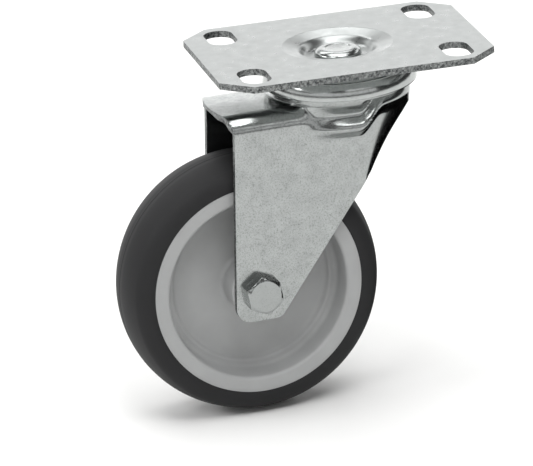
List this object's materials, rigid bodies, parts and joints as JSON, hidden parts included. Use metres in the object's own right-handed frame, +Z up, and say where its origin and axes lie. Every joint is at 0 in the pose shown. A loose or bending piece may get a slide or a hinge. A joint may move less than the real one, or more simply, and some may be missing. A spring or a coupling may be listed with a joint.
{
  "type": "swivel castor",
  "caption": "Swivel castor with a slotted fixing plate, a swivel head on two rows of balls, a pressed fork and a soft-tread plastic wheel on a bolted axle.",
  "frame": {"origin": "middle of the fixing plate's top face, on the swivel axis", "axes": "+Z up out of the plate along the swivel axis; the plate's long side and the wheel's trail lie along Y, the wheel towards -Y"},
  "size_m": [0.08, 0.1438, 0.1358],
  "materials": {
    "zinc_plate": "bright zinc plating, satin, faintly mottled",
    "zinc_cup": "bright zinc plating, drawn and shiny",
    "kingpin_steel": "zinc plated, upset head",
    "race_steel": "hardened steel, turned",
    "ball_steel": "polished bearing steel",
    "zinc_fork": "bright zinc plating, satin with fine dark speckle",
    "zinc_bolt": "bright zinc plating",
    "tube_steel": "drawn steel tube, plain",
    "zinc_nut": "bright zinc plating",
    "nylon": "nylon",
    "core_plastic": "moulded grey polypropylene, matt",
    "tread": "dark grey thermoplastic rubber, matt"
  },
  "bodies": {
    "plate": {"top_plate": "zinc_plate", "race_cup": "zinc_cup", "kingpin": "kingpin_steel", "lower_race": "race_steel"},
    "upper_ball_row": {"upper_balls": "ball_steel"},
    "lower_ball_row": {"lower_balls": "ball_steel"},
    "fork": {"fork": "zinc_fork", "axle_bolt": "zinc_bolt", "axle_tube": "tube_steel", "axle_nut": "zinc_nut", "nut_insert": "nylon"},
    "wheel": {"wheel_core": "core_plastic", "tyre": "tread"}
  },
  "joints": [
    {"name": "fork_swivel", "type": "hinge", "parent": "plate", "child": "fork", "pos_m": [0, 0, 0], "axis": [0, 0, 1], "continuous": true},
    {"name": "wheel_roll", "type": "hinge", "parent": "fork", "child": "wheel", "pos_m": [0.00253, -0.04142, -0.0858], "axis": [0.9981, 0.061, 0], "continuous": true},
    {"name": "upper_row_roll", "type": "hinge", "parent": "plate", "child": "upper_ball_row", "pos_m": [0, 0, 0], "axis": [0, 0, 1], "continuous": true},
    {"name": "lower_row_roll", "type": "hinge", "parent": "plate", "child": "lower_ball_row", "pos_m": [0, 0, 0], "axis": [0, 0, 1], "continuous": true}
  ],
  "couplings": [
    {"joint": "upper_row_roll", "follows": "fork_swivel", "ratio": 0.5},
    {"joint": "lower_row_roll", "follows": "fork_swivel", "ratio": 0.5}
  ]
}
